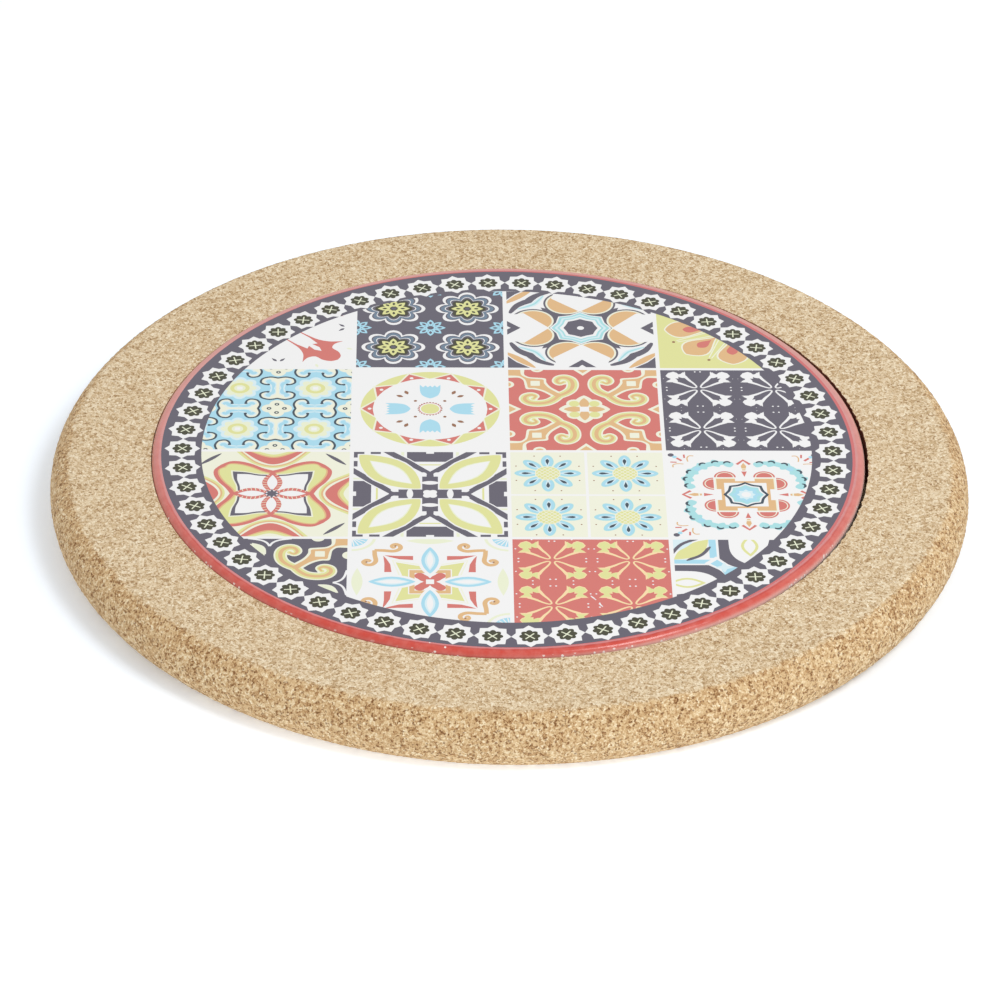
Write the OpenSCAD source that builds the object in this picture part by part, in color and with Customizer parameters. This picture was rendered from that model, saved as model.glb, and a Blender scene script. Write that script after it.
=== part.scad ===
// Round table trivet: a cork disc with a printed ceramic tile let into its top.
// The cork's underside rests on Z = 0 and the disc's axis is the Z axis.
// Lengths are in millimetres.

/* [Cork base] */
// Diameter of the cork disc, across its swelling edge
cork_d = 200; // [180:1:240]
// Thickness of the cork disc
cork_t = 13.5; // [11:0.5:20]
// How far the rounded edge swells out past the rims of the flat faces
edge_bulge = 4.1; // [1:0.1:5]

/* [Tile seat] */
// Clearance all round between the tile and the wall of its recess
seat_gap = 0.45; // [0.3:0.05:1.5]
// How far the face of the tile stands above the cork
tile_proud = 1.1; // [0.5:0.1:2.5]

/* [Ceramic tile] */
// Diameter of the finished tile, glaze included
tile_d = 154.7; // [120:0.1:165]
// Thickness of the finished tile, from its foot to its face
tile_t = 6; // [4.5:0.5:8]
// Radius of the rounded shoulder between the face and the side
shoulder_r = 1.6; // [0.8:0.1:2.4]
// Thickness of the fired glaze
glaze_t = 0.3; // [0.15:0.05:0.5]

/* [Red rim] */
// Width of the flat red band between the print and the shoulder
rim_flat = 0.5; // [0.3:0.1:3]
// How far the red glaze runs down the side below the shoulder
rim_lap = 0.2; // [0.1:0.1:1]

/* [Back of the tile] */
// Distance of the foot ring from the side of the tile
foot_inset = 4; // [2:0.5:12]
// Width of the foot ring that the tile stands on
foot_w = 5; // [3:0.5:10]
// Depth of the hollow that the foot ring leaves in the back
pan_depth = 0.8; // [0.5:0.1:1.5]
// How far the margin outside the foot rises to meet the side
margin_rise = 1; // [0.5:0.1:1.8]

/* [Adhesive] */
// Distance from the foot ring to the outer bead's centreline
bead_inset = 13; // [6:1:18]
// Distance between the centrelines of the two beads
bead_pitch = 26; // [16:1:30]
// Width of a bead after the tile is pressed down
bead_w = 6; // [3:0.5:10]
// Diameter of the dab in the middle
dab_d = 14; // [8:1:24]

/* [Hidden] */
$fn = 180;

// Where the tile was pushed to in its seat, along X and Y, as shares of the clearance
seat_push_shares = [-0.76, -0.3];

// Heights above the table
recess_z = cork_t + tile_proud - tile_t;
face_z = cork_t + tile_proud;
biscuit_z = face_z - glaze_t;
rim_foot_z = face_z - shoulder_r - rim_lap;

// Radii and places in plan
cork_r = cork_d / 2;
top_r = cork_r - edge_bulge;
tile_r = tile_d / 2;
biscuit_r = tile_r - glaze_t;
biscuit_round_r = shoulder_r - glaze_t;
recess_r = tile_r + seat_gap;
foot_outer_r = biscuit_r - foot_inset;
foot_inner_r = foot_outer_r - foot_w;
print_r = tile_r - shoulder_r - rim_flat;
outer_bead_r = foot_inner_r - bead_inset;
inner_bead_r = outer_bead_r - bead_pitch;
tile_at = [seat_gap * seat_push_shares[0], seat_gap * seat_push_shares[1], 0];

// The edge is one arc through the rims of both flat faces and the widest line
edge_arc_r = (pow(cork_t / 2, 2) + pow(edge_bulge, 2)) / (2 * edge_bulge);

// Straight steps that the rounded shoulder is turned in
shoulder_steps = 6;

// Overrun of the recess past the face that it leaves
cut = 1;

// Half section of the cork disc: flat faces joined by the swelling edge
module cork_section() {
    square([top_r, cork_t]);
    intersection() {
        translate([cork_r - edge_arc_r, cork_t / 2]) circle(edge_arc_r);
        square([cork_r, cork_t]);
    }
}

// The cork disc, with the round recess routed for the tile
module cork_base() {
    color([0.84, 0.74, 0.59])
    difference() {
        rotate_extrude() cork_section();
        translate([0, 0, recess_z]) cylinder(h = face_z - recess_z + cut, r = recess_r);
    }
}

// Points round a shoulder, from the flat face out and down to the side
function shoulder_points(outer_r, round_r, top_z) = [
    for (step = [0:shoulder_steps])
        let (turn = 90 * step / shoulder_steps)
        [outer_r - round_r + round_r * sin(turn), top_z - round_r + round_r * cos(turn)]
];

// The same list of points from its end to its start
function reversed(points) = [for (k = [len(points) - 1:-1:0]) points[k]];

// The pressed and fired body of the tile, bare on its back and lower side
module tile_body() {
    color([0.93, 0.88, 0.82])
    translate(tile_at)
    rotate_extrude()
    polygon(concat(
        [[0, biscuit_z]],
        shoulder_points(biscuit_r, biscuit_round_r, biscuit_z),
        [
            [biscuit_r, recess_z + margin_rise],
            [foot_outer_r, recess_z],
            [foot_inner_r, recess_z],
            [foot_inner_r, recess_z + pan_depth],
            [0, recess_z + pan_depth],
        ]
    ));
}

// The red glaze over the shoulder, open in the middle for the print
module rim_glaze() {
    color([0.83, 0.33, 0.29])
    translate(tile_at)
    rotate_extrude()
    polygon(concat(
        [[print_r, face_z]],
        shoulder_points(tile_r, shoulder_r, face_z),
        [[tile_r, rim_foot_z], [biscuit_r, rim_foot_z]],
        reversed(shoulder_points(biscuit_r, biscuit_round_r, biscuit_z)),
        [[print_r, biscuit_z]]
    ));
}

// The printed picture under its clear glaze
module face_print() {
    color([0.36, 0.36, 0.42])
    translate(tile_at + [0, 0, biscuit_z]) cylinder(h = glaze_t, r = print_r);
}

// One ring of adhesive, pressed out flat with swelling sides
module bead(centre_r) {
    inner_r = centre_r - bead_w / 2;
    outer_r = centre_r + bead_w / 2;
    swell = pan_depth / 2;
    rotate_extrude()
    polygon([
        [inner_r, swell],
        [inner_r + swell, 0],
        [outer_r - swell, 0],
        [outer_r, swell],
        [outer_r - swell, pan_depth],
        [inner_r + swell, pan_depth],
    ]);
}

// The adhesive between the floor of the recess and the back of the tile
module adhesive_beads() {
    color([0.93, 0.91, 0.86])
    translate(tile_at + [0, 0, recess_z]) {
        bead(outer_bead_r);
        bead(inner_bead_r);
        cylinder(h = pan_depth, r = dab_d / 2);
    }
}

cork_base();
tile_body();
rim_glaze();
face_print();
adhesive_beads();
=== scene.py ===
import cmath
import math

import bpy
import numpy as np
from mathutils import Matrix, Vector
from mathutils.geometry import delaunay_2d_cdt


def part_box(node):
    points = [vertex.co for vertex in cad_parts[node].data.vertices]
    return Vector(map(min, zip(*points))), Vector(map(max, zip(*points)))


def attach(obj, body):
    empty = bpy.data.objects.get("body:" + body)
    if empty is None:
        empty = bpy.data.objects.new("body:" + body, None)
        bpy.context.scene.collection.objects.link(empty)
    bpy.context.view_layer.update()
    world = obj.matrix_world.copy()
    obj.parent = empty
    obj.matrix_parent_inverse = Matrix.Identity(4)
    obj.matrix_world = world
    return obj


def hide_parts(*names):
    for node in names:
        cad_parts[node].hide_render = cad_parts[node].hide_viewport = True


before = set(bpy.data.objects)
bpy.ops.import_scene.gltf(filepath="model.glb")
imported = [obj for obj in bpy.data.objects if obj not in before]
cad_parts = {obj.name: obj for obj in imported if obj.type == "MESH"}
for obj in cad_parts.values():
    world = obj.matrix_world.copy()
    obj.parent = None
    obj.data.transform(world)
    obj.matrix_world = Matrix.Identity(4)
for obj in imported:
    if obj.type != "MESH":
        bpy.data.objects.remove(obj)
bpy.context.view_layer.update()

# Camera
# The trivet is seen from in front and above, as on a table, through a long lens.
# The camera points a little in front of the disc's middle and leans by under a degree.
MM = 0.001
scene = bpy.context.scene
camera_distance = 1040 * MM
camera_aim = Vector((-2.02, -20.7, 14.6)) * MM
camera_elevation = math.radians(33.41)
camera_roll = math.radians(0.724)

backward = Vector((0, -math.cos(camera_elevation), math.sin(camera_elevation)))
rightward = Vector((1, 0, 0))
upward = backward.cross(rightward)
lean = Matrix.Rotation(camera_roll, 3, backward)
camera_data = bpy.data.cameras.new("Camera")
camera_data.lens = 175.3
camera_data.sensor_width = 36
camera = bpy.data.objects.new("Camera", camera_data)
turn = (lean @ Matrix((rightward, upward, backward)).transposed()).to_4x4()
camera.matrix_world = Matrix.Translation(camera_aim + backward * camera_distance) @ turn
scene.collection.objects.link(camera)
scene.camera = camera


# Cork base
# A disc of agglomerated cork: granules of bark bonded in a block, sliced and sanded flat.
# Its edge is cut to a swelling round and left rough, and a round seat is routed in its top.
def turned(name, section, sides, at=(0, 0), hollow=False):
    """A turned piece: a circle extruded and scaled from point to point of its half section."""
    bpy.ops.object.select_all(action="DESELECT")
    radius, height = section[0]
    bpy.ops.mesh.primitive_circle_add(vertices=sides, radius=radius, location=(0, 0, 0))
    piece = bpy.context.object
    piece.name = name
    bpy.ops.object.mode_set(mode="EDIT")
    bpy.ops.transform.translate(value=(0, 0, height))
    if not hollow:
        bpy.ops.mesh.edge_face_add()
    for next_radius, next_height in section[1:]:
        bpy.ops.mesh.extrude_region_move(TRANSFORM_OT_translate={"value": (0, 0, next_height - height)})
        grow = next_radius / radius
        bpy.ops.transform.resize(value=(grow, grow, 1), center_override=(0, 0, 0))
        radius, height = next_radius, next_height
    bpy.ops.mesh.select_all(action="SELECT")
    bpy.ops.mesh.remove_doubles(threshold=0.002 * MM)
    bpy.ops.mesh.normals_make_consistent(inside=False)
    bpy.ops.transform.translate(value=(at[0], at[1], 0))
    bpy.ops.object.mode_set(mode="OBJECT")
    return piece


def arc_points(centre, radius, start, end, steps):
    """Points of an arc in a half section, with its angles in degrees from the level."""
    angles = [math.radians(start + (end - start) * k / steps) for k in range(steps + 1)]
    return [(centre[0] + radius * math.cos(a), centre[1] + radius * math.sin(a)) for a in angles]


def node_tree(material):
    """An emptied node tree, with its surface shader and its output joined."""
    material.use_nodes = True
    nodes, links = material.node_tree.nodes, material.node_tree.links
    nodes.clear()
    shader = nodes.new("ShaderNodeBsdfPrincipled")
    output = nodes.new("ShaderNodeOutputMaterial")
    links.new(shader.outputs["BSDF"], output.inputs["Surface"])
    return nodes, links, shader


def tint(red, green, blue):
    """A colour picked on a screen scale of 0 to 255, as the shaders' linear light."""
    steps = [c / 255 for c in (red, green, blue)]
    return tuple(c / 12.92 if c <= 0.04045 else ((c + 0.055) / 1.055) ** 2.4 for c in steps) + (1,)


_, cork_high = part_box("cork_base")
tile_low, tile_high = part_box("tile_body")
cork_r = cork_high.y
cork_top = cork_high.z
seat_floor = tile_low.z
seat_r = 77.8 * MM
rim_r = 95.9 * MM
edge_sag = cork_r - rim_r
edge_arc_r = ((cork_top / 2) ** 2 + edge_sag ** 2) / (2 * edge_sag)
edge_half_angle = math.degrees(math.asin(cork_top / 2 / edge_arc_r))
edge_steps = 36
cork_sides = 1500
arris_w = 1.2 * MM
crease_angle = math.radians(50)

section = arc_points((cork_r - edge_arc_r, cork_top / 2), edge_arc_r,
                     -edge_half_angle, edge_half_angle, edge_steps)
# Rings of points on the flat top keep both rough edges from reaching further in
section += [(rim_r - 1 * MM, cork_top), (rim_r - 6 * MM, cork_top), (seat_r + 0.5 * MM, cork_top)]
section += [(seat_r, cork_top), (seat_r, seat_floor)]
cork = turned("cork_disc", section, cork_sides)
rough = cork.vertex_groups.new(name="rough_edge")
crumbled = cork.vertex_groups.new(name="crumbled_seat_edge")
# The cut is roughest away from its two arrises, and the seat's edge is crumbled on the right
for vertex in cork.data.vertices:
    r = math.hypot(vertex.co.x, vertex.co.y)
    off_arris = min(vertex.co.z, cork_top - vertex.co.z)
    if r > rim_r - 0.2 * MM:
        rough.add([vertex.index], 0.35 + 0.65 * min(1, off_arris / arris_w), "REPLACE")
    if r < seat_r + 0.1 * MM and vertex.co.z > cork_top - 0.1 * MM:
        crumbled.add([vertex.index], max(0, vertex.co.x / r), "REPLACE")

# Cells pressed into the cork: their size and reach, the level that stays, where and which way
presses = (
    ("granules", 1.3 * MM, -0.22 * MM, 0, "rough_edge", "NORMAL"),
    ("pits", 0.6 * MM, -0.14 * MM, 0, "rough_edge", "NORMAL"),
    ("crumbs", 1.1 * MM, 0.55 * MM, 0.6, "crumbled_seat_edge", "X"),
)
for name, size, reach, middle, group, direction in presses:
    texture = bpy.data.textures.new(name, "VORONOI")
    texture.noise_scale = size
    bpy.ops.object.modifier_add(type="DISPLACE")
    press = cork.modifiers[-1]
    press.texture = texture
    press.vertex_group = group
    press.direction = direction
    press.texture_coords = "LOCAL"
    press.mid_level = middle
    press.strength = reach
    bpy.ops.object.modifier_apply(modifier=press.name)
bpy.ops.object.shade_smooth_by_angle(angle=crease_angle)

cork_material = bpy.data.materials.new("Agglomerated cork")
nodes, links, shader = node_tree(cork_material)
place = nodes.new("ShaderNodeTexCoord")


def feed(socket, value):
    """Gives a socket a number or a colour, or links it to another socket."""
    if isinstance(value, (int, float, tuple)):
        socket.default_value = value
    else:
        links.new(value, socket)


def math_node(kind, first, second):
    """One sum on two values or sockets."""
    node = nodes.new("ShaderNodeMath")
    node.operation = kind
    feed(node.inputs[0], first)
    feed(node.inputs[1], second)
    return node.outputs[0]


def mix_node(factor, first, second):
    """Two colours mixed by a value or socket."""
    node = nodes.new("ShaderNodeMix")
    node.data_type = "RGBA"
    factor_socket, first_socket, second_socket = node.inputs[0], node.inputs[6], node.inputs[7]
    feed(factor_socket, factor)
    feed(first_socket, first)
    feed(second_socket, second)
    return node.outputs[2]


def split_up(kind, value):
    """The parts of a colour or of a place."""
    node = nodes.new("ShaderNodeSeparate" + kind)
    links.new(value, node.inputs[0])
    return node.outputs


def cells(size):
    """Granules of about that size, as a Voronoi pattern on the piece's own place."""
    node = nodes.new("ShaderNodeTexVoronoi")
    node.inputs["Scale"].default_value = 1 / size
    links.new(place.outputs["Object"], node.inputs["Vector"])
    return node


def cloud(size, detail=2):
    """Soft noise with patches of about that size."""
    node = nodes.new("ShaderNodeTexNoise")
    node.inputs["Scale"].default_value = 1 / size
    node.inputs["Detail"].default_value = detail
    links.new(place.outputs["Object"], node.inputs["Vector"])
    return node.outputs["Fac"]


def ramp(factor, stops):
    """A colour ramp with its stops as places and colours."""
    node = nodes.new("ShaderNodeValToRGB")
    links.new(factor, node.inputs["Fac"])
    elements = node.color_ramp.elements
    for k, (position, colour) in enumerate(stops):
        element = elements[k] if k < 2 else elements.new(position)
        element.position = position
        element.color = colour
    return node.outputs["Color"]


def spread(value, low, high, low_out=0.0, high_out=1.0):
    """A value brought from one range to another, smoothly and clamped."""
    node = nodes.new("ShaderNodeMapRange")
    node.interpolation_type = "SMOOTHSTEP"
    links.new(value, node.inputs["Value"])
    limits = {"From Min": low, "From Max": high, "To Min": low_out, "To Max": high_out}
    for limit, number in limits.items():
        node.inputs[limit].default_value = number
    return node.outputs["Result"]


def off_axis(spot):
    """How far a spot lies from the upright axis through its zero."""
    flat = nodes.new("ShaderNodeVectorMath")
    flat.operation = "MULTIPLY"
    flat.inputs[1].default_value = (1, 1, 0)
    links.new(spot, flat.inputs[0])
    length = nodes.new("ShaderNodeVectorMath")
    length.operation = "LENGTH"
    links.new(flat.outputs[0], length.inputs[0])
    return length.outputs["Value"]


def bumped(height, distance, strength=1.0):
    """A surface tilted by a height, which reaches as deep as the distance."""
    node = nodes.new("ShaderNodeBump")
    node.inputs["Strength"].default_value = strength
    feed(node.inputs["Distance"], distance)
    links.new(height, node.inputs["Height"])
    return node.outputs["Normal"]


# The sanded faces turn into the cut edge along a wandering line
from_axis = off_axis(place.outputs["Object"])
wander = math_node("MULTIPLY", math_node("SUBTRACT", cloud(1.6 * MM), 0.5), 2.4 * MM)
edge_mask = spread(math_node("ADD", from_axis, wander), rim_r - 0.7 * MM, rim_r + 0.5 * MM)

# Granules have crooked outlines, so the cells are read at a place that noise shifts a little
crook = nodes.new("ShaderNodeTexNoise")
crook.inputs["Scale"].default_value = 1 / (0.8 * MM)
links.new(place.outputs["Object"], crook.inputs["Vector"])
shift = nodes.new("ShaderNodeVectorMath")
shift.operation = "MULTIPLY_ADD"
links.new(crook.outputs["Color"], shift.inputs[0])
shift.inputs[1].default_value = (0.9 * MM,) * 3
links.new(place.outputs["Object"], shift.inputs[2])


def granules(size):
    """Crooked cells of about that size: their random tones, and the distance from their middles."""
    cell = cells(size)
    links.new(shift.outputs[0], cell.inputs["Vector"])
    return split_up("Color", cell.outputs["Color"]), cell.outputs["Distance"]


coarse, _ = granules(1.0 * MM)
fine, _ = granules(0.45 * MM)
dots, dot_distance = granules(0.62 * MM)
grain = spread(cloud(0.3 * MM, 3), 0.3, 0.7)
tone = math_node("MULTIPLY", coarse[0], 0.20)
for value, weight in ((fine[1], 0.52), (grain, 0.28)):
    tone = math_node("ADD", tone, math_node("MULTIPLY", value, weight))
sanded_stops = (0.12, tint(152, 116, 76)), (0.32, tint(197, 167, 126)), (0.5, tint(219, 195, 158))
sanded_stops += (0.7, tint(234, 215, 183)), (0.9, tint(249, 237, 212))
cut_stops = (0.12, tint(112, 72, 38)), (0.32, tint(184, 143, 96)), (0.5, tint(209, 175, 129))
cut_stops += (0.7, tint(226, 198, 154)), (0.9, tint(246, 230, 197))
surface = mix_node(edge_mask, ramp(tone, sanded_stops), ramp(tone, cut_stops))

# Dark specks of bark, more of them in the cut edge
dot_mask = math_node("MULTIPLY", spread(dots[2], 0.78, 0.82), spread(dot_distance, 0.30, 0.45, 1.0, 0.0))
dot_amount = math_node("MULTIPLY", dot_mask, spread(edge_mask, 0.0, 1.0, 0.42, 0.75))
surface = mix_node(dot_amount, surface, tint(132, 90, 54))

# The seat's wall is darker than the faces, and darkest on the right, where the gap is open: painted shade
# in the recess round the tile
split = split_up("XYZ", place.outputs["Object"])
seat_wall = math_node("MULTIPLY", spread(from_axis, seat_r - 0.5 * MM, seat_r - 0.4 * MM),
                      spread(from_axis, seat_r + 0.8 * MM, seat_r + 0.9 * MM, 1.0, 0.0))
above_floor = spread(split["Z"], seat_floor - 1.0 * MM, seat_floor - 0.5 * MM)
below_top = spread(split["Z"], cork_top - 0.2 * MM, cork_top - 0.04 * MM, 1.0, 0.0)
seat_shade_mask = math_node("MULTIPLY", seat_wall, math_node("MULTIPLY", above_floor, below_top))
gap_shade_share = spread(split["X"], 0.6 * seat_r, 0.95 * seat_r)
surface = mix_node(seat_shade_mask, surface, mix_node(gap_shade_share, tint(196, 150, 118), tint(112, 56, 40)))
links.new(surface, shader.inputs["Base Color"])
shader.inputs["Roughness"].default_value = 0.85
shader.inputs["Specular IOR Level"].default_value = 0.25
relief = math_node("SUBTRACT", math_node("ADD", fine[0], grain), math_node("MULTIPLY", dot_mask, 1.5))
links.new(bumped(relief, 0.10 * MM, 0.7), shader.inputs["Normal"])
cork.data.materials.append(cork_material)
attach(cork, "root")
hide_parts("cork_base")


# Tile body
# A round blank of white earthenware, pressed dry and fired. It stays bare on its back and on
# the lower half of its side, and sits in the cork's seat a little left of the middle.
tile_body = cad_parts["tile_body"]
tile_x = (tile_low.x + tile_high.x) / 2
tile_y = (tile_low.y + tile_high.y) / 2
biscuit_material = bpy.data.materials.new("Pressed earthenware")
nodes, links, shader = node_tree(biscuit_material)
place = nodes.new("ShaderNodeTexCoord")
clay = ramp(cloud(6 * MM, 4), ((0.3, tint(226, 212, 196)), (0.7, tint(240, 230, 216))))
links.new(clay, shader.inputs["Base Color"])
shader.inputs["Roughness"].default_value = 0.8
links.new(bumped(cloud(0.4 * MM, 3), 0.05 * MM), shader.inputs["Normal"])
tile_body.data.materials.clear()
tile_body.data.materials.append(biscuit_material)


# Red rim
# A band of red glaze brushed round the tile's shoulder and fired glossy, on the flat beside the print
# and over the rounded shoulder. Its paler back and pinker flat are painted reflection in the glaze.

# The print's glaze has the same skin: glassy, with slow waves, a little haze and rubbing marks
glaze = bpy.data.node_groups.new("Fired glaze", "ShaderNodeTree")
for name, way in (("Haze", "INPUT"), ("Wave depth", "INPUT"), ("Roughness", "OUTPUT")):
    glaze.interface.new_socket(name, in_out=way, socket_type="NodeSocketFloat")
glaze.interface.new_socket("Normal", in_out="OUTPUT", socket_type="NodeSocketVector")
nodes, links = glaze.nodes, glaze.links
given = nodes.new("NodeGroupInput")
result = nodes.new("NodeGroupOutput")
place = nodes.new("ShaderNodeTexCoord")
rubbed = spread(cloud(9 * MM, 5), 0.35, 0.75, 0.0, 0.10)
links.new(math_node("ADD", given.outputs["Haze"], rubbed), result.inputs["Roughness"])
waves = bumped(cloud(4 * MM), given.outputs["Wave depth"])
links.new(waves, result.inputs["Normal"])

print_low, print_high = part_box("face_print")
glaze_low, glaze_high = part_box("rim_glaze")
face_z = print_high.z
print_r = (print_high.x - print_low.x) / 2
tile_r = (glaze_high.x - glaze_low.x) / 2
shoulder_r = 1.6 * MM
glaze_t = face_z - print_low.z
rim_sides = 360
dip = 0.02 * MM
dip_w = 0.35 * MM
outer = arc_points((tile_r - shoulder_r, face_z - shoulder_r), shoulder_r, 90, 0, 12)
inner = arc_points((tile_r - shoulder_r, face_z - shoulder_r), shoulder_r - glaze_t, 0, 90, 8)
crown = [(print_r, face_z - glaze_t), (print_r, face_z - dip), (print_r + dip_w, face_z)]
section = crown + outer + [(tile_r, glaze_low.z + 0.1 * MM), (tile_r - glaze_t, glaze_low.z)]
section += inner + [(print_r, face_z - glaze_t)]
rim = turned("red_rim", section, rim_sides, (tile_x, tile_y), hollow=True)
bpy.ops.object.shade_smooth_by_angle(angle=crease_angle)


def glazed(material, haze, wave_depth):
    """A glossy fired material, ready for its colour."""
    nodes, links, shader = node_tree(material)
    finish = nodes.new("ShaderNodeGroup")
    finish.node_tree = glaze
    finish.inputs["Haze"].default_value = haze
    finish.inputs["Wave depth"].default_value = wave_depth
    links.new(finish.outputs["Roughness"], shader.inputs["Roughness"])
    links.new(finish.outputs["Normal"], shader.inputs["Normal"])
    shader.inputs["IOR"].default_value = 1.5
    return nodes, links, shader


red_glaze = bpy.data.materials.new("Red glaze")
nodes, links, shader = glazed(red_glaze, 0.20, 0.10 * MM)
place = nodes.new("ShaderNodeTexCoord")
centred = nodes.new("ShaderNodeVectorMath")
centred.operation = "SUBTRACT"
links.new(place.outputs["Object"], centred.inputs[0])
centred.inputs[1].default_value = (tile_x, tile_y, 0)
split = split_up("XYZ", centred.outputs[0])
wander = math_node("MULTIPLY", math_node("SUBTRACT", cloud(3 * MM), 0.5), 0.5 * MM)
from_axis = math_node("ADD", off_axis(centred.outputs[0]), wander)

# The flat is pinker than the shoulder, and both are paler at the back: painted reflection of the bright
# room
back_reflection_share = spread(split["Y"], -tile_r, tile_r * 0.6)
deep = mix_node(back_reflection_share, tint(203, 70, 56), tint(208, 146, 139))
shoulder_start = tile_r - shoulder_r
pink = spread(from_axis, shoulder_start - 0.2 * MM, shoulder_start + 0.2 * MM, 1.0, 0.0)
pale = mix_node(back_reflection_share, tint(204, 122, 126), tint(206, 148, 143))
surface = mix_node(pink, deep, pale)

# A thin dark line painted along the front of the shoulder is a painted dark reflection
dark_reflection_line = math_node("MULTIPLY", spread(from_axis, shoulder_start, shoulder_start + 0.2 * MM),
                    spread(from_axis, shoulder_start + 0.3 * MM, shoulder_start + 0.5 * MM, 1.0, 0.0))
in_front = spread(split["Y"], -0.6 * tile_r, -0.1 * tile_r, 0.6, 0.0)
surface = mix_node(math_node("MULTIPLY", dark_reflection_line, in_front), surface, tint(182, 58, 52))
streaks = spread(cloud(2 * MM, 4), 0.35, 0.7, 0.0, 0.14)
surface = mix_node(streaks, surface, tint(240, 170, 160))

# The glaze is paler towards its lower edge, a little all round and most on the right, where the paleness
# is a painted highlight from the window light
low_down = spread(split["Z"], glaze_low.z + 0.1 * MM, glaze_low.z + 1.5 * MM, 0.9, 0.0)
lit_right_share = spread(split["X"], -0.1 * tile_r, 0.5 * tile_r, 0.2, 1.0)
surface = mix_node(math_node("MULTIPLY", low_down, lit_right_share), surface, tint(250, 216, 206))

# Chips are few and anywhere, and crumbs of bare body lie in stretches along the lower edge
chip = cells(1.6 * MM)
chip_tone = split_up("Color", chip.outputs["Color"])[0]
chip_mask = math_node("MULTIPLY", spread(chip_tone, 0.965, 0.97),
                      spread(chip.outputs["Distance"], 0.10, 0.18, 1.0, 0.0))
crumb = cells(0.9 * MM)
crumb_mask = math_node("MULTIPLY", spread(crumb.outputs["Color"], 0.46, 0.48),
                       spread(crumb.outputs["Distance"], 0.28, 0.4, 1.0, 0.0))
near_foot = spread(split["Z"], glaze_low.z + 0.9 * MM, glaze_low.z + 1.2 * MM, 1.0, 0.0)
crumb_place = math_node("MULTIPLY", spread(cloud(14 * MM), 0.44, 0.54), near_foot)
chips = math_node("MAXIMUM", chip_mask, math_node("MULTIPLY", crumb_place, crumb_mask))
links.new(mix_node(chips, surface, tint(246, 234, 228)), shader.inputs["Base Color"])
rim.data.materials.append(red_glaze)
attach(rim, "root")
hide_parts("rim_glaze")


# Printed face
# A ceramic print in flat inks under clear glaze, fired on the tile's flat top: sixteen square
# patches with white joints, and round them a dark ring of eight-pointed stars.

# Points of the print are complex numbers: the real part runs right and the other one away.
# Within a patch the middle is 0 and the middle of a side is 1 away.
def polar(r, degrees):
    return cmath.rect(r, math.radians(degrees))


def arc(centre, r, start, end, step=12):
    """Points of an arc, no further apart than a step in degrees."""
    count = max(2, math.ceil(abs(end - start) / step))
    return [centre + polar(r, start + (end - start) * k / count) for k in range(count + 1)]


def curve(knots, steps=5):
    """A smooth run through the knots."""
    last = len(knots) - 1
    path = []
    for k in range(last):
        a, b, c, d = (knots[min(max(k + j, 0), last)] for j in (-1, 0, 1, 2))
        for t in (s / steps for s in range(steps)):
            square = (a - 2.5 * b + 2 * c - d / 2) * t ** 2
            path.append(b + (c - a) * t / 2 + square + (1.5 * (b - c) + (d - a) / 2) * t ** 3)
    return path + [knots[-1]]


def arch(foot, bend, top):
    """A smooth arch, the same on both sides."""
    return curve([-foot.conjugate(), -bend.conjugate(), top * 1j, bend, foot])


def shape(ink, *runs):
    """One inked shape, its outline given as runs of points. Later shapes print over earlier ones."""
    return [(ink, [point for run in runs for point in run])]


def disc(ink, centre, r, step=20):
    return shape(ink, arc(centre, r, 0, 360, step)[:-1])


def block(ink, left, low, right, high):
    near, far = ([complex(x, y) for x in (left, right)] for y in (low, high))
    return shape(ink, near, far[::-1])


def star(ink, tips, r_tip, r_dip):
    return shape(ink, [polar(r, 90 + 180 * k / tips) for k, r in enumerate((r_tip, r_dip) * tips)])


def scallop(ink, lobes, r_tip, r_dip, start=90, sharp=1.0):
    """A rosette outline with round lobes."""
    steps = 8
    count = lobes * steps
    swells = [abs(math.cos(math.pi * k / steps)) ** sharp for k in range(count)]
    reach = [r_dip + (r_tip - r_dip) * swell for swell in swells]
    return shape(ink, [polar(reach[k], start + 360 * k / count) for k in range(count)])


def petal(ink, root, tip, half, blunt=1.0, lean=1.0, steps=12):
    """A leaf between two points, half as wide as stated to each side of its midrib."""
    along = tip - root
    side = 1j * half * along / abs(along)
    shares = [(1 - math.cos(math.pi * k / steps)) / 2 for k in range(1, steps)]
    swell = [math.sin(math.pi * s ** lean) ** blunt for s in shares]
    left = [root + along * s + side * w for s, w in zip(shares, swell)]
    right = [root + along * s - side * w for s, w in zip(shares, swell)]
    return shape(ink, [root], left, [tip], right[::-1])


def drop(ink, tip, end, half, steps=12):
    """A leaf that is widest towards its end."""
    return petal(ink, tip, end, half, blunt=0.75, lean=1.8, steps=steps)


def line(ink, path, *widths):
    """A stroke along a path, of one width or of three: at its start, middle and end."""
    start, middle, end = widths * 3 if len(widths) == 1 else widths
    last = len(path) - 1
    left, right = [], []
    for k, point in enumerate(path):
        run = path[min(k + 1, last)] - path[max(k - 1, 0)]
        t = k / last
        width = start * (1 - t) * (1 - 2 * t) + 4 * middle * t * (1 - t) + end * t * (2 * t - 1)
        side = 0.5j * width * run / abs(run)
        left.append(point + side)
        right.append(point - side)
    return shape(ink, left, right[::-1])


def placed(art, at=0, size=1, turn=0):
    """The art sized, turned and moved."""
    return [(ink, [at + point * size * polar(1, turn) for point in points]) for ink, points in art]


def both(art):
    """The art and its mirror image, left and right."""
    return art + [(ink, [-point.conjugate() for point in points]) for ink, points in art]


def swapped(points):
    """Points mirrored in the patch's rising diagonal, run backwards."""
    return [complex(point.imag, point.real) for point in points[::-1]]


def crossed(art):
    """The art and its mirror image in the patch's rising diagonal."""
    return art + [(ink, swapped(points)) for ink, points in art]


def ring(count, art, start=0):
    return [piece for k in range(count) for piece in placed(art, turn=start + 360 * k / count)]


def grid(at, art, xs, ys):
    return [piece for x in xs for y in ys for piece in placed(art, at + complex(x, y))]


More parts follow.
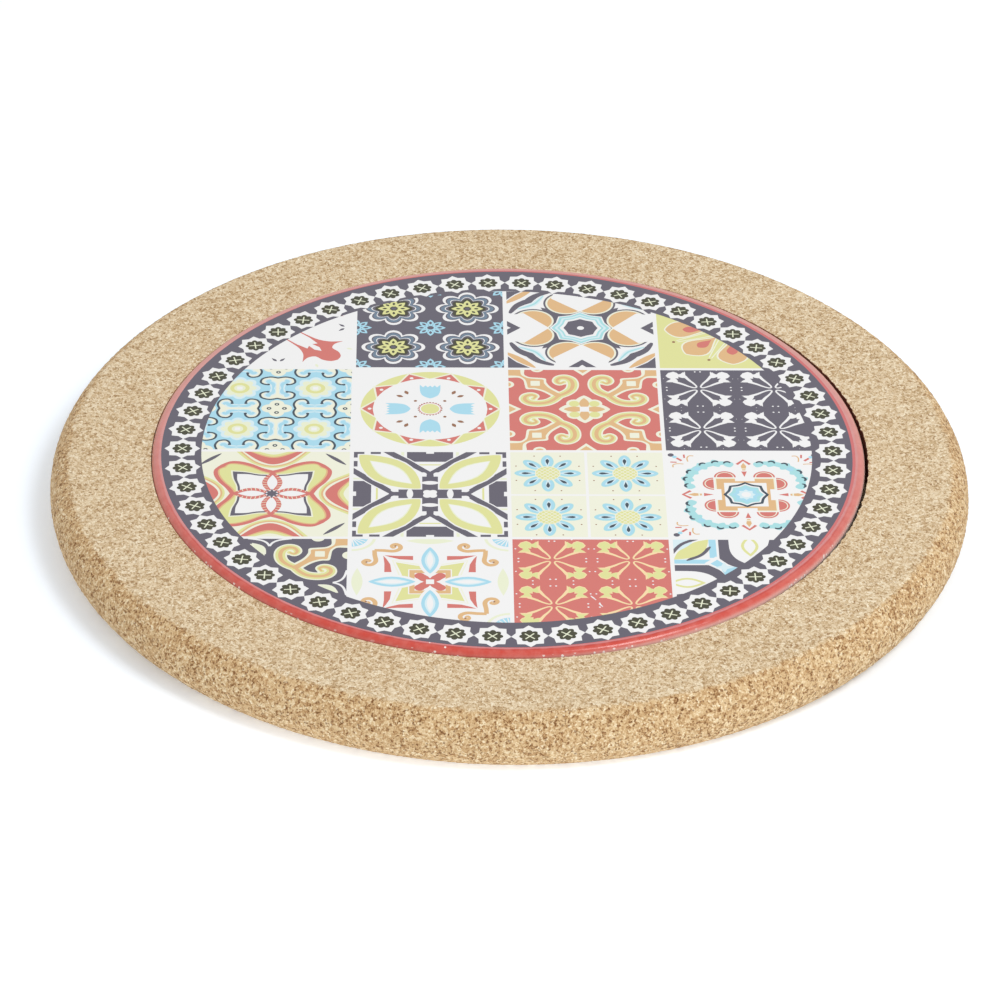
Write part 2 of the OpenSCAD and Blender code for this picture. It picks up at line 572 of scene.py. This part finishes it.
joint_share = 0.974


def ground(ink):
    """The ground of a patch. It ends short of the patch's edge and leaves a white joint."""
    return block(ink, -joint_share, -joint_share, joint_share, joint_share)


def red_tulips():
    side = curve([.135 + .24j, .148 + .42j, .17 + .56j, .24 + .70j, .375 + .825j])
    under = curve([.375 + .825j, .25 + .795j, .155 + .845j, .145 + .97j, .09 + 1.07j, 1.11j])
    mouth = [.80j, .045 + .71j, .03 + .59j, .092 + .625j, .118 + .45j, .118 + .26j]
    tulip = both(shape("red", side, under[1:], mouth))
    commas = both(petal("navy", .095 + .775j, .02 + .86j, .02, lean=1.5))
    buds = both(petal("pale_lime", .28 + .98j, .32 + 1.06j, .02))
    return ground("white") + ring(4, tulip + buds, 45) + placed(ring(4, commas), .03j)


def rosettes():
    flower = scallop("white", 8, .424, .315, sharp=.8) + scallop("navy", 8, .374, .272, sharp=.8)
    flower += scallop("slate", 8, .356, .262) + scallop("white", 8, .302, .222, sharp=1.3)
    flower += scallop("navy", 8, .288, .212, sharp=1.3) + scallop("olive", 8, .25, .195)
    flower += ring(8, petal("lime", .03j, .215j, .049) + petal("olive", .085j, .155j, .019))
    flower += disc("olive", 0, .052) + star("navy", 8, .045, .028)
    small = ring(8, petal("sky", .04j, .205j, .046) + petal("navy", .085j, .16j, .02))
    small += disc("sky", 0, .066) + disc("navy", 0, .045)
    at = .005 + .028j
    art = ground("navy") + grid(at, flower, (-.492, .492), (-.492, .492))
    return art + grid(at, small, (-.985, 0, .985), (-.985, 0, .985))


def orange_lobes():
    lobe = .183 + .627j
    hood = curve([-.40 + .925j, -.34 + .952j, -.20 + .995j, -.075 + .99j, .972j])
    hood += [-point.conjugate() for point in hood[-2::-1]]
    corner = shape("navy", [-.3 + 1.19j, 1.225j, .3 + 1.19j, 1.6j])
    corner += petal("ochre", -.29 + 1.15j, .29 + 1.15j, .052, blunt=.7)
    corner += line("navy", hood, .03, .115, .03)
    sweep = arch(.25 + .93j, .12 + .89j, .865)
    corner += line("pale_sky", sweep, .02, .085, .02) + line("teal", sweep, .01, .03, .01)
    side = both(disc("navy", lobe, .302, 10))
    lobes = both(disc("cream", lobe, .274, 10)) + both(disc("ochre", lobe, .248, 10))
    lobes += shape("white", [.418j, .379 + .757j, .345 + .88j, .38 + 1.0j],
                   [-.38 + 1.0j, -.345 + .88j, -.379 + .757j])
    lobes += shape("navy", [-.185 + .99j, .80j, .185 + .99j])
    lobes += shape("white", [-.05 + .99j, .93j, .05 + .99j])
    middle = []
    rounds = ("white", .412, .352), ("teal", .388, .332), ("pale_sky", .345, .298), ("teal", .31, .27)
    for ink, r_tip, r_dip in rounds + (("white", .28, .245), ("navy", .228, .206)):
        middle += star(ink, 8, r_tip, r_dip)
    middle += disc("white", 0, .047)
    art = ring(4, corner + petal("navy", .36j, .74j, .062), 45)
    art += disc("navy", 0, .50) + ring(4, side) + ring(4, lobes)
    return ground("white") + placed(art + middle, .005 + .033j)


def daisy():
    ray = drop("cream", .22j, .885j, .215, 16) + drop("ochre", .26j, .865j, .19, 16)
    ray += drop("red", .36j, .635j, .075)
    vein = both(line("cream", [.055 + .28j, .018 + .78j], .016)) + disc("brown", .83j, .022)
    art = ground("lime") + ring(8, ray) + ring(8, vein, 22.5)
    return art + disc("cream", 0, .27) + disc("ochre", 0, .24)


def scroll_lattice():
    half = .4935
    rosette = scallop("pale_sky", 8, .27, .22) + scallop("pale_lime", 8, .22, .165)
    rosette += disc("lime", 0, .128) + disc("pale_lime", 0, .075)
    rosette += block("white", -.035, -.035, .035, .035)
    right = curve([.12 + .085j, .185 + .10j, .225 + .15j, .20 + .235j, .10 + .275j, .25j])
    left = [-point.conjugate() for point in right[::-1]]
    tongue = curve([.06, .06 + .10j, .13 + .165j, .09 + .20j])
    half_hood = shape("cream", right, [0])
    half_hood += line("pale_sky", tongue, .06, .11, .08) + line("sky", tongue, .02, .06, .03)
    hood = both(half_hood) + line("dark", right + left[1:], .03) + both(disc("dark", .125 + .09j, .022))
    waist = ring(2, hood) + block("cream", -.02, -.20, .02, .20)
    eyelet = disc("dark", .10j, .033, 40) + disc("cream", .10j, .014, 60)
    star_mark = scallop("cream", 4, .20, .14) + ring(4, eyelet)
    at = .01 + .01j
    art = ground("sky") + grid(at, rosette, (-half, half), (-half, half))
    art += grid(at, waist, (-2 * half, 0, 2 * half), (-half, half))
    art += grid(at, placed(waist, turn=90), (-half, half), (-2 * half, 0, 2 * half))
    return art + grid(at, star_mark, (-2 * half, 0, 2 * half), (-2 * half, 0, 2 * half))


def tulip_wheel():
    spoke = shape("cream", [.925j, polar(.74, 72.5), polar(.74, 107.5)])
    spoke += shape("red", [.885j, polar(.745, 76.5), polar(.745, 90), polar(.745, 103.5)])
    spoke += disc("white", .785j, .026, 45)
    bell = curve([.252j, .06 + .285j, .108 + .34j, .132 + .44j, .135 + .585j])
    tulip = both(shape("sky", bell, [.09 + .525j, .06 + .57j, .03 + .525j, .565j]))
    marks = both(petal("brown", .043 + .45j, .08 + .545j, .027)) + disc("brown", .27j, .024, 60)
    art = disc("lime", 0, .905, 6) + disc("white", 0, .735, 8) + ring(10, spoke, -90)
    art += disc("white", 0, .742, 8) + ring(4, tulip) + ring(4, marks, 45)
    art += ring(24, disc("brown", .153j, .012, 60))
    art += disc("red", 0, .148, 15) + disc("white", 0, .138, 15) + disc("lime", 0, .12, 20)
    return ground("white") + placed(art, .01j)


def scrollwork(base, outer, core, leaf=None):
    """Four pairs of scrolls round a flower, with small leaves between them if they have an ink."""
    curl = .29 + .645j
    run = [-.02 + .466j, .12 + .443j, .235 + .46j, .335 + .53j, .39 + .62j]
    run += [.38 + .71j, .315 + .755j, .24 + .73j, .225 + .665j, curl]
    path = curve(run)
    edge = both(line("cream", path, .15, .16, .085) + disc("cream", curl, .06))
    neck = [.085 + .42j, .075 + .56j, .08 + .69j, .12 + .80j, .18 + .875j, .13 + .955j]
    neck += [.07 + 1.03j, .05 + 1.08j, .06 + 1.15j, .17 + 1.25j, .30 + 1.40j]
    edge += both(shape("cream", [.40j], curve(neck), [1.42j]))
    stem = line(outer, path, .11, .115, .04) + disc(outer, curl, .03) + line(core, path, .045, .05, .02)
    throat = [.045 + .45j, .04 + .56j, .045 + .69j, .085 + .81j, .14 + .877j, .09 + .95j]
    throat += [.035 + 1.03j, .02 + 1.08j, .025 + 1.17j, .12 + 1.28j, .25 + 1.41j]
    body = both(stem) + both(shape(core, [.43j], curve(throat), [1.42j]))
    quarter = edge + body + placed(star("cream", 4, .085, .062), .89j)
    tongue = shape("cream", [-.15 + 1.0j, .82j, .15 + 1.0j])
    tongue += shape(core, [-.10 + 1.0j, .885j, .10 + 1.0j])
    if leaf:
        tongue = both(line("white", curve([-.27 + .97j, -.12 + .935j, -.04 + .88j, .80j]), .03))
    buds = both(disc("cream", .60 + .99j, .085) + disc(leaf or core, .60 + 1.0j, .055))
    art = ring(4, quarter, 45) + ring(4, tongue + buds)
    if leaf:
        blade = petal("cream", -.22 + .87j, -.04 + .62j, .075)
        art += crossed(blade + petal(leaf, -.20 + .84j, -.06 + .66j, .05))
    lobe = polar(.185, 45)
    art += ring(4, petal("cream", 0, .335j, .125, blunt=.8) + disc("cream", lobe, .105))
    art += ring(4, disc(outer, lobe, .07)) + ring(4, petal(core, 0, .27j, .065, blunt=.8))
    art += block("white", -.06, -.06, .06, .06)
    return ground(base) + placed(art, .005 + .01j)


def lilies(base, edge, ink, dot_r):
    """Four crosses of lilies, with white dots round them."""
    vein = line(edge, curve([.045j, .027 + .07j, .052 + .15j, .068 + .24j, .10 + .35j]), .022, .028, .05)
    head = [.36j, .03 + .395j, .042 + .34j, .08 + .295j, .125 + .355j, .187 + .42j, .12 + .412j]
    head += [.076 + .43j, .086 + .475j, .074 + .525j, .55j]
    heart = [.84 * point + .074j for point in head]
    arm = both(vein + shape(edge, head) + shape(ink, heart))
    dots = both(disc("white", .035 + .42j, .014, 60)) + both(disc("white", .25 + .455j, dot_r, 60))
    cross = ring(4, arm, 45) + ring(4, dots)
    return ground(base) + grid(.005 + .02j, cross, (-.49, .49), (-.493, .493))


def quatrefoil(ink, grow):
    """A four-lobed outline, grown or shrunk all round."""
    knots = [(.53 + grow) * 1j, .13 + (.59 + grow) * 1j, .27 + (.685 + grow) * 1j]
    knots += [.42 + (.745 + grow * .9) * 1j, .55 + (.745 + grow * .8) * 1j, (.665 + grow * .7) * (1 + 1j)]
    right = curve(knots, 4)
    return ring(4, shape(ink, [0], right, swapped(right)[1:]))


def red_quatrefoil():
    crest = line("lime", arch(.45 + 1.0j, .24 + .73j, .63), .075)
    crest += line("ochre", arch(.43 + 1.0j, .23 + .735j, .637), .03)
    crest += line("cream", arch(.41 + 1.0j, .215 + .75j, .658), .02)
    crest += shape("red", arch(.385 + .98j, .19 + .765j, .675))
    crest += shape("ochre", arch(.31 + .98j, .13 + .865j, .83))
    crest += shape("lime", arch(.28 + .98j, .12 + .89j, .855))
    crest += shape("cream", curve([-.20 + .98j, .905j, .20 + .98j]))
    slash = petal("navy", -.19 + 1.13j, .19 + 1.13j, .03, blunt=.7)
    art = ring(4, slash, 45) + ring(4, crest)
    art += quatrefoil("red", 0) + quatrefoil("ochre", -.065) + quatrefoil("lime", -.09)
    inner = curve([.43j, .17 + .44j, .34 + .49j, .51 + .51j], 4)
    core = curve([.40j, .17 + .41j, .31 + .445j, .45 + .45j], 4)
    art += ring(4, placed(shape("cream", [0], inner, swapped(inner)[1:]), size=1.045))
    art += ring(4, shape("navy", [0], inner, swapped(inner)[1:]))
    art += ring(4, shape("white", [0], core, swapped(core)[1:]))
    blade_tip = .505
    blade = petal("red", 0, blade_tip * 1j, .13, blunt=.9) + petal("white", .07j, .43j, .066)
    for k in range(7):
        height = .09 + .055 * k
        reach = .13 * math.sin(math.pi * height / blade_tip)
        blade += both(line("pale_lime", [.55 * reach + height * 1j, reach + (height + .012) * 1j], .009))
    return ground("cream") + art + ring(4, blade) + disc("white", 0, .08) + star("navy", 8, .11, .055)


def leaf_cross():
    frond = petal("white", .16j, 1.30j, .295, blunt=.8, steps=14)
    frond += petal("lime", .175j, 1.275j, .272, blunt=.8, steps=14)
    frond += petal("pale_lime", .32j, 1.09j, .15) + petal("white", .34j, 1.07j, .13)
    band = both(shape("white", [.38j, .05 + .43j, .385 + .745j, .62 + .974j],
                      [.44 + .974j, .25 + .80j, .05 + .58j, .54j]))
    band += both(shape("navy", [.38j, .035 + .43j, .37 + .75j, .60 + .974j],
                       [.46 + .974j, .26 + .785j, .05 + .565j, .515j]))
    crown = block("navy", -.295, .745, .295, .974) + block("white", -.05, .935, .05, .974)
    crown += block("lime", -.16, .66, .16, .685) + both(block("pale_lime", .33, .86, .37, .974))
    crown += both(block("navy", .63, .925, .76, .974) + block("navy", .84, .925, .974, .974))
    post = block("navy", -.045, .38, .045, .46) + block("navy", -.10, .10, .10, .40)
    post += petal("white", -.12 + .255j, .12 + .255j, .042, blunt=.6)
    post += both(disc("white", .09 + .45j, .048))
    art = ring(4, crown) + ring(4, band) + ring(4, frond, 45) + ring(4, post)
    hub = block("navy", -.1, -.1, .1, .1) + scallop("white", 4, .105, .075, start=45)
    return ground("white") + art + hub


def blue_daisies():
    ray = petal("teal", .12j, .425j, .082, blunt=.5) + petal("sky", .14j, .412j, .068, blunt=.5)
    flower = ring(8, ray) + ring(8, petal("pale_sky", .16j, .37j, .03, blunt=.6))
    flower += ring(8, drop("dark", .19j, .335j, .024, 8))
    flower += disc("cream", 0, .165, 15) + disc("lime", 0, .152, 15)
    for turn in (45, 135):
        for across in (-.10, -.05, 0, .05, .10):
            reach = (.022 - across ** 2) ** .5
            stroke = line("cream", [complex(-reach, across), complex(reach, across)], .011)
            flower += placed(stroke, turn=turn)
    flower += ring(8, disc("brown", .435j, .012, 60), 22.5)
    art = ground("cream") + block("white", -.028, -joint_share, .008, joint_share)
    art += block("white", -joint_share, -.038, joint_share, -.002)
    return art + grid(-.01 - .02j, flower, (-.493, .493), (-.503, .503))


def wreath():
    lobe = shape("red", arc(.25 + .40j, .14, 0, 180)) + line("cream", arc(.25 + .40j, .11, 0, 180), .014)
    hook = line("red", [-.085 + .70j, .80j, .085 + .70j], .04)
    hook += shape("ochre", [.74j, .035 + .66j, .02 + .56j, -.02 + .56j, -.035 + .66j])
    hook += shape("red", [.41j, .036 + .535j, -.036 + .535j]) + block("cream", -.03, .585, .03, .605)
    half_rib = [polar(.85, 90), polar(.845, 83), polar(.815, 72), polar(.765, 62), polar(.70, 57)]
    band = line("teal", [-point.conjugate() for point in half_rib[:0:-1]] + half_rib, .05, .115, .05)
    for turn, r, tip in ((6, .85, .935), (19, .815, .90), (30, .755, .80)):
        band += both(placed(petal("teal", (r - .10) * 1j, tip * 1j, .065, blunt=.7), turn=-turn))
    band += petal("sky", .79j, .885j, .05, blunt=.7)
    for turn, r in ((8, .86), (19, .815), (29, .75)):
        band += both(placed(line("dark", arc(1j * r, .043, 5, 165, 20), .02, .034, .016), turn=-turn))
    sprig = line("red", [.125 + 1.19j, .072 + 1.13j], .024)
    sprig += line("ochre", curve([.19 + 1.08j, .15 + 1.12j, .09 + 1.10j, .04 + 1.04j]), .018)
    corner = disc("navy", 1.30j, .04) + disc("sky", 1.235j, .03) + both(sprig)
    corner += line("red", [1.20j, 1.11j], .034)
    heart = block("cream", -.385, -.385, .385, .385) + block("ochre", -.365, -.365, .365, .365)
    heart += block("white", -.27, -.27, .27, .27) + ring(4, block("white", -.125, .31, .125, .40))
    for ink, r_side, r_point in ("dark", .25, .29), ("white", .213, .248), ("teal", .19, .225):
        heart += scallop(ink, 8, r_side, r_point, 67.5)
    heart += star("sky", 8, .19, .14) + star("pale_sky", 8, .12, .09) + disc("white", 0, .06)
    return ground("white") + ring(4, band, 45) + ring(4, corner, 45) + ring(4, both(lobe) + hook) + heart


def blue_ovals():
    oval = petal("white", .14j, .80j, .15, blunt=.6) + petal("sky", .18j, .76j, .11, blunt=.8)
    oval += petal("pale_sky", .25j, .69j, .066) + petal("white", .29j, .65j, .04)
    wedge = [.57 + .58j, .40 + .565j, .21 + .565j, .21 + .475j, .38 + .492j, .50 + .54j]
    spiral = [.43 + .77j, .46 + .745j, .475 + .79j, .43 + .825j, .375 + .79j, .375 + .72j]
    spiral += [.45 + .672j, .58 + .685j, .69 + .69j]
    curl = crossed(line("ochre", curve(spiral), .035, .06, .055) + disc("brown", .43 + .785j, .016, 60))
    knot = .98 + .98j
    fan = disc("pale_lime", knot, .31, 12) + disc("white", knot, .27, 12) + disc("sky", knot, .21, 12)
    for k in range(5):
        fan += line("white", [knot, knot + polar(.2, 190 + 17 * k)], .015)
    lens = petal("pale_lime", -.30 + .90j, .30 + .90j, .07)
    square = ring(4, shape("cream", [0, .38j, .17 + .395j, .475 + .475j, .395 + .17j, .38]))
    square += ring(4, shape("white", [0, .36j, .17 + .375j, .455 + .455j, .375 + .17j, .36]))
    square += ring(4, shape("lime", [0, .34j, .16 + .35j, .425 + .425j, .35 + .16j, .34]))
    square += block("white", -.27, -.27, .27, .27) + block("ochre", -.255, -.255, .255, .255)
    square += block("white", -.19, -.19, .19, .19)
    bow = ring(4, line("red", [0, .10j, .185j], .08, .13, .12) + disc("red", .18j, .066), 45)
    art = ring(4, fan + curl + lens) + square + ring(4, oval + both(shape("red", wedge))) + bow
    return ground("white") + placed(art + block("white", -.05, -.05, .05, .05), .033j)


def fallen(art):
    """The art and its mirror image in the patch's falling diagonal."""
    return art + [(ink, [complex(-point.imag, -point.real) for point in points]) for ink, points in art]


def petal_pair():
    edge = curve([-.42 + .99j, -.44 + .70j, -.38 + .50j, -.20 + .36j, -.06 + .37j])
    left = curve([-.28 + .99j, -.27 + .72j, -.20 + .55j, -.08 + .44j])
    right = curve([-.08 + .44j, .06 + .56j, .17 + .72j, .235 + .99j])
    bloom = shape("white", left, right)
    bloom += petal("lime", -.02 + .60j, -.02 + 1.06j, .11) + petal("white", -.02 + .66j, -.02 + 1.0j, .072)
    bars = block("white", -.57, .42, -.41, .99) + block("sky", -.53, .46, -.44, .99)
    leaf = line("navy", curve([-1.0 + .66j, -.87 + .87j, -.66 + 1.0j]), .05)
    leaf += line("navy", curve([-.82 + .51j, -.64 + .64j, -.51 + .82j]), .02, .07, .02)
    near = curve([-.98 + .53j, -.80 + .56j, -.65 + .65j, -.56 + .80j, -.53 + .98j])
    leaf += shape("lime", near, curve([-.53 + .98j, -.70 + .92j, -.81 + .81j, -.92 + .70j, -.98 + .53j]))
    tail = shape("white", [-.60 + .45j, -.45 + .60j, -.27 + .38j, -.17 + .20j, -.20 + .17j, -.38 + .27j])
    tail += shape("sky", [-.53 + .44j, -.44 + .53j, -.33 + .40j, -.20 + .36j],
                  [-.22 + .22j, -.36 + .20j, -.40 + .33j])
    tail += placed(star("pale_sky", 4, .12, .05), -.36 + .36j)
    art = ground("white") + block("pale_sky", -.974, .74, -.74, .974)
    art += fallen(shape("navy", edge, [.99 - .06j, .99 + .99j]))
    return art + fallen(bloom + bars) + leaf + tail


# The patches row by row from the far side, each row from the left
patchwork = [
    [red_tulips(), rosettes(), orange_lobes(), daisy()],
    [scroll_lattice(), tulip_wheel(), scrollwork("red", "lime", "ochre"),
     lilies("navy", "white", "white", .006)],
    [red_quatrefoil(), leaf_cross(), blue_daisies(), wreath()],
    [scrollwork("navy", "lime", "ochre", "pale_lime"), blue_ovals(),
     lilies("red", "sand", "lime", .013), petal_pair()],
]

# Two short scuffs, where a pan has scratched the red patch in front
for scuff in ([-.031 - .265j, -.005 - .30j, .035 - .357j], [.074 - .409j, .085 - .46j, .113 - .50j]):
    patchwork[3][2] += line("white", scuff, .01, .022, .008)

# The whole print, in millimetres from the cork's axis. The picture was laid on a little off
# the tile's middle, and turned by a degree. Its outline has sides of two degrees.
pitch = 33.85
print_turn = 1.076
blank_at = complex(tile_x, tile_y) / MM
picture_at = complex(-.69, -.28)
picture_r = 66.2
picture_side_r = picture_r * math.cos(math.radians(1))
patchwork_at = complex(-.39, -1.42)
ring_at = complex(-.72, -.33)
ring_r = 75.0
star_count = 58
star_ring_r = 70.55
star_ring_at = patchwork_at + (-.07 + .55j) * polar(1, print_turn)
star_ring_turn = print_turn - .18

layers = [("white", arc(picture_at, picture_r, 0, 360, 2)[:-1], None)]
for row, patches in enumerate(patchwork):
    for column, patch in enumerate(patches):
        middle = patchwork_at + complex(column - 1.5, 1.5 - row) * pitch * polar(1, print_turn)
        for ink, points in placed(patch, middle, pitch / 2, print_turn):
            layers.append((ink, points, middle))
layers.append(("navy", arc(ring_at, ring_r, 0, 360, 2)[:-1], "ring"))
star_mark = star("white", 8, 3.85, 3.05) + scallop("olive", 8, 2.2, 1.72)
star_mark += ring(4, line("pale_lime", [0, 1.35j], .28), 45)
for k in range(star_count):
    turn = star_ring_turn + 360 * k / star_count
    for ink, points in placed(star_mark, star_ring_at + polar(star_ring_r, turn), 1, turn - 90):
        layers.append((ink, points, "ring"))

print_outline = arc(blank_at, print_r / MM, 0, 360, 1)[:-1]


def shows(point, where):
    """Whether a point of a layer can show: in its own patch and picture, or in the ring."""
    if where is None:
        return True
    if where == "ring":
        return abs(point - picture_at) >= picture_r - 0.01
    local = (point - where) * polar(1, -print_turn) / (pitch / 2)
    in_patch = max(abs(local.real), abs(local.imag)) <= joint_share + .001
    return in_patch and abs(point - picture_at) < picture_r


# The outlines are cut into one flat sheet of triangles, which no modelling tool gives
corners, corner_numbers, edges = [], {}, []
weld_mm = 0.001


def corner_number(point):
    """The number of a point among the sheet's corners."""
    key = (round(point.real, 3), round(point.imag, 3))
    if key not in corner_numbers:
        corner_numbers[key] = len(corners)
        corners.append(Vector(key))
    return corner_numbers[key]


for ink, points, where in layers + [(None, print_outline, None)]:
    showing = [shows(point, where) for point in points]
    for k in range(len(points)):
        if showing[k - 1] or showing[k]:
            pair = (corner_number(points[k - 1]), corner_number(points[k]))
            if pair[0] != pair[1]:
                edges.append(pair)
flat_corners, _, triangles = delaunay_2d_cdt(corners, edges, [], 0, weld_mm, False)[:3]

# Each triangle takes the ink that was printed over it last
corner_at = np.array([complex(*corner) for corner in flat_corners])
triangles = np.array([face for face in triangles if len(face) == 3])
middles = corner_at[triangles].mean(axis=1)
order = np.argsort(middles.real)
sorted_x = middles.real[order]


def inside(points):
    """Numbers of the triangles whose middles are inside an outline."""
    outline = np.array(points)
    start, end = np.searchsorted(sorted_x, (outline.real.min(), outline.real.max()))
    chosen = order[start:end]
    y = middles.imag[chosen]
    chosen = chosen[(y >= outline.imag.min()) & (y <= outline.imag.max())]
    x, y = middles.real[chosen][:, None], middles.imag[chosen][:, None]
    after = np.roll(outline, -1)
    spans = (outline.imag > y) != (after.imag > y)
    rise = np.where(after.imag == outline.imag, 1, after.imag - outline.imag)
    crossing = outline.real + (after.real - outline.real) * (y - outline.imag) / rise
    return chosen[(spans & (x < crossing)).sum(axis=1) % 2 == 1]


# The inks and their tones. The first, the rim's red, lies wherever nothing is printed.
ink_tints = {
    "rim_red": (204, 106, 106), "white": (237, 237, 237), "cream": (234, 235, 215),
    "navy": (92, 88, 102), "slate": (105, 125, 145), "dark": (52, 68, 82), "red": (208, 113, 105),
    "ochre": (220, 179, 127), "lime": (219, 220, 149), "pale_lime": (229, 234, 205),
    "sky": (164, 214, 232), "pale_sky": (211, 232, 238), "teal": (164, 217, 221),
    "olive": (58, 58, 34), "brown": (147, 101, 72), "sand": (242, 215, 165),
}
ink_names = list(ink_tints)
ink_of = np.zeros(len(triangles), int)
for ink, points, where in layers:
    hit = inside(points)
    if isinstance(where, complex):
        local = (middles[hit] - where) * polar(1, -print_turn) / (pitch / 2)
        in_patch = np.maximum(np.abs(local.real), np.abs(local.imag)) <= joint_share
        hit = hit[in_patch & (np.abs(middles[hit] - picture_at) < picture_r)]
    if where == "ring":
        hit = hit[np.abs(middles[hit] - picture_at) > picture_side_r]
    ink_of[hit] = ink_names.index(ink)

kept = inside(print_outline)
used, renumbered = np.unique(triangles[kept], return_inverse=True)
points_3d = [(corner_at[k].real * MM, corner_at[k].imag * MM, face_z) for k in used]
print_mesh = bpy.data.meshes.new("printed_face")
print_mesh.from_pydata(points_3d, [], renumbered.reshape(-1, 3).tolist())
print_mesh.polygons.foreach_set("material_index", ink_of[kept])
printed_face = bpy.data.objects.new("printed_face", print_mesh)
scene.collection.objects.link(printed_face)

# The glaze has the thickness of a fired coat: the edge of the sheet is drawn down and closed
bpy.ops.object.select_all(action="DESELECT")
printed_face.select_set(True)
bpy.context.view_layer.objects.active = printed_face
bpy.ops.object.mode_set(mode="EDIT")
bpy.ops.mesh.select_mode(type="EDGE")
bpy.ops.mesh.select_all(action="DESELECT")
bpy.ops.mesh.select_non_manifold()
bpy.ops.mesh.extrude_region_move(TRANSFORM_OT_translate={"value": (0, 0, -glaze_t)})
bpy.ops.mesh.edge_face_add()
bpy.ops.mesh.select_all(action="SELECT")
bpy.ops.mesh.normals_make_consistent(inside=False)
bpy.ops.object.mode_set(mode="OBJECT")

# The top lies flat in the map for baking, and the wall and back are shrunk into a corner of it
bake_map = print_mesh.uv_layers.new(name="OFBake")
for polygon in print_mesh.polygons:
    share, middle = (0.998, 0.5) if polygon.normal.z > 0.5 else (0.0499, 0.03)
    for loop in polygon.loop_indices:
        corner = print_mesh.vertices[print_mesh.loops[loop].vertex_index].co
        bake_map.uv[loop].vector = [(c - m) / (2 * print_r) * share + middle
                                    for c, m in zip(corner.xy, (tile_x, tile_y))]

for name in ink_names:
    ink_material = bpy.data.materials.new("Glazed ink " + name)
    nodes, links, shader = glazed(ink_material, 0.12, 0.02 * MM)
    shader.inputs["Base Color"].default_value = tint(*ink_tints[name])
    print_mesh.materials.append(ink_material)
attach(printed_face, "root")
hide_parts("face_print")


# Adhesive
# Two rings and a dab of white adhesive, pressed flat between the seat and the tile's back.
# Neither shows once the tile is in place.
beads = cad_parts["adhesive_beads"]
adhesive_material = bpy.data.materials.new("Set adhesive")
nodes, links, shader = node_tree(adhesive_material)
place = nodes.new("ShaderNodeTexCoord")
mottle = ramp(cloud(8 * MM, 2), ((0.3, tint(228, 222, 208)), (0.7, tint(244, 240, 230))))
links.new(mottle, shader.inputs["Base Color"])
shader.inputs["Roughness"].default_value = 0.45
beads.data.materials.clear()
beads.data.materials.append(adhesive_material)


# Table and light
# A plain white table top in even daylight, with a broad window light from the right in front.
bpy.ops.mesh.primitive_plane_add(size=6, location=(0, 0, 0))
table_top = bpy.context.object
table_top.name = "table_top"
table_material = bpy.data.materials.new("White table")
nodes, links, shader = node_tree(table_material)
shader.inputs["Base Color"].default_value = (0.82, 0.89, 0.97, 1)
shader.inputs["Roughness"].default_value = 0.9
shader.inputs["Specular IOR Level"].default_value = 0
shader.inputs["Emission Color"].default_value = (1, 1, 1, 1)

# The table glows a little, and more in front of the trivet, where its shadow is lighter
place = nodes.new("ShaderNodeTexCoord")
split = split_up("XYZ", place.outputs["Object"])
brighter_in_front = spread(split["Y"], -1.0 * cork_r, -0.6 * cork_r, 0.5, 0.2)
links.new(brighter_in_front, shader.inputs["Emission Strength"])
table_top.data.materials.append(table_material)

world = bpy.data.worlds.new("Even daylight")
world.use_nodes = True
world.node_tree.nodes["Background"].inputs["Color"].default_value = (1, 1, 1, 1)
world.node_tree.nodes["Background"].inputs["Strength"].default_value = 0.735
scene.world = world

window_at = Vector((0.65, -0.45, 1.2))
window = bpy.data.lights.new("Window light", "AREA")
window.shape = "SQUARE"
window.size = 0.5
window.energy = 8.4
window_object = bpy.data.objects.new("Window light", window)
window_object.location = window_at
window_object.rotation_euler = (-window_at).to_track_quat("-Z", "Y").to_euler()
scene.collection.objects.link(window_object)
scene.view_settings.view_transform = "Standard"
scene.view_settings.look = "None"
